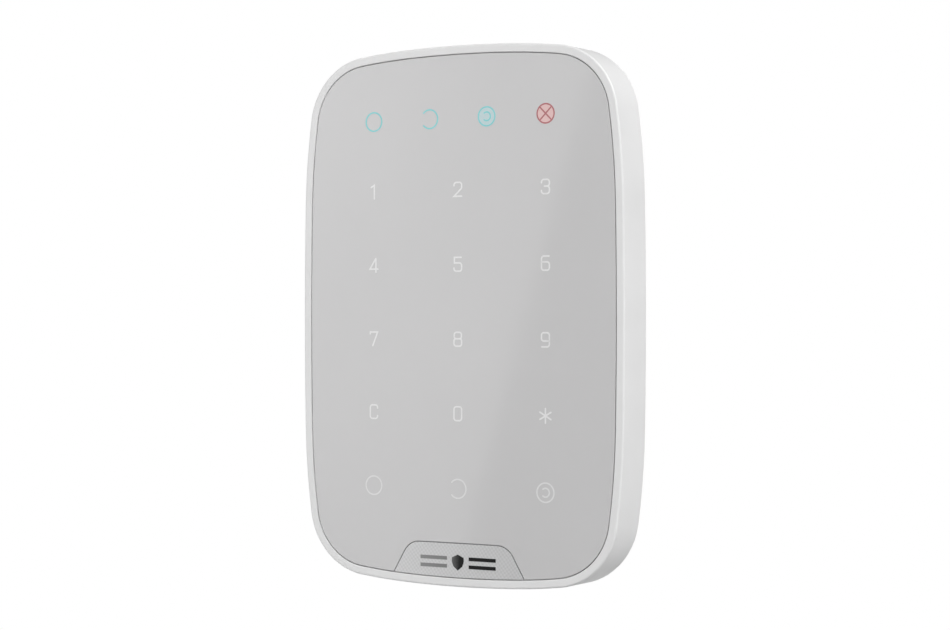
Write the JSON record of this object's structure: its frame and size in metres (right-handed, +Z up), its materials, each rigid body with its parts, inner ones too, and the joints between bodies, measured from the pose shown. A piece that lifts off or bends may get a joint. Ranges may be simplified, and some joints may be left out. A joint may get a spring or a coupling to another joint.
{
  "type": "alarm keypad panel",
  "caption": "Thin touch keypad with a flush gloss panel in a rounded white frame, on a slide-on wall bracket with hooks, tamper contact and locking screw.",
  "frame": {"origin": "on the wall plane, behind the centre of the keypad's front outline, in the wall bracket's back face", "axes": "+Z up along the height, +Y into the wall, so the touch panel faces -Y; +X to the right as seen from the front"},
  "size_m": [0.103, 0.014, 0.15],
  "materials": {
    "housing_white": "fine satin grain",
    "panel_grey": "polished, legends behind the surface",
    "badge_grey": "fine slanting hatch",
    "emblem_black": "polished, paler towards one end",
    "adhesive_black": "matt",
    "film_milky": "translucent",
    "mask_black": "matt",
    "board_green": "lacquered",
    "led_yellow": "clear resin",
    "chip_black": "moulded",
    "shield_tin": "tinned",
    "antenna_nickel": "stamped",
    "sounder_black": "satin",
    "can_aluminium": "satin",
    "crystal_steel": "bright",
    "header_black": "satin",
    "cradle_black": "satin",
    "cell_wrap": "printed sleeve",
    "contact_nickel": "nickelled",
    "cover_white": "fine grain",
    "label_silver": "blank, satin",
    "screw_steel": "zinc plated",
    "insert_brass": "turned",
    "plunger_black": "satin",
    "button_grey": "satin",
    "switch_black": "satin",
    "bracket_white": "fine grain"
  },
  "bodies": {
    "wall_bracket": {"wall_bracket": "bracket_white", "lock_insert": "insert_brass"},
    "keypad": {"front_housing": "housing_white", "touch_panel": "panel_grey", "badge_plate": "badge_grey", "badge_mark": "emblem_black", "panel_adhesive": "adhesive_black", "diffuser_film": "film_milky", "light_mask": "mask_black", "main_board": "board_green", "status_leds": "led_yellow", "microcontroller": "chip_black", "touch_controller": "chip_black", "radio_shield": "shield_tin", "antenna_main": "antenna_nickel", "antenna_spare": "antenna_nickel", "buzzer": "sounder_black", "reservoir_capacitor_1": "can_aluminium", "reservoir_capacitor_2": "can_aluminium", "crystal": "crystal_steel", "service_header": "header_black", "battery_cradle": "cradle_black", "contact_top_left": "contact_nickel", "contact_top_right": "contact_nickel", "contact_bottom_middle": "contact_nickel", "contact_negative": "contact_nickel", "contact_positive": "contact_nickel", "rear_cover": "cover_white", "rear_cover_screws": "screw_steel", "rating_label": "label_silver", "tamper_switch": "switch_black", "tamper_spring": "contact_nickel", "power_switch": "switch_black", "key_leds_row_1": "led_yellow", "key_leds_row_2": "led_yellow", "key_leds_row_3": "led_yellow", "key_leds_row_4": "led_yellow", "key_leds_row_5": "led_yellow", "battery_1": "cell_wrap", "battery_spring_1": "contact_nickel", "battery_2": "cell_wrap", "battery_spring_2": "contact_nickel", "battery_3": "cell_wrap", "battery_spring_3": "contact_nickel", "battery_4": "cell_wrap", "battery_spring_4": "contact_nickel"},
    "lock_screw": {"lock_screw": "screw_steel"},
    "tamper_plunger": {"tamper_plunger": "plunger_black"},
    "power_button": {"power_button": "button_grey"}
  },
  "joints": [
    {"name": "keypad_lift", "type": "slide", "parent": "wall_bracket", "child": "keypad", "axis": [0, 0, 1], "range_m": [0, 0.006]},
    {"name": "lock_screw_travel", "type": "slide", "parent": "keypad", "child": "lock_screw", "axis": [0, 0, -1], "range_m": [0, 0.0042]},
    {"name": "tamper_press", "type": "slide", "parent": "keypad", "child": "tamper_plunger", "axis": [0, -1, 0], "range_m": [0, 0.0006], "stiffness_N_per_m": 200, "springref_m": -0.0025, "deforming": ["tamper_spring"]},
    {"name": "power_press", "type": "slide", "parent": "keypad", "child": "power_button", "axis": [0, -1, 0], "range_m": [0, 0.0004], "stiffness_N_per_m": 1500, "springref_m": -0.0005}
  ]
}
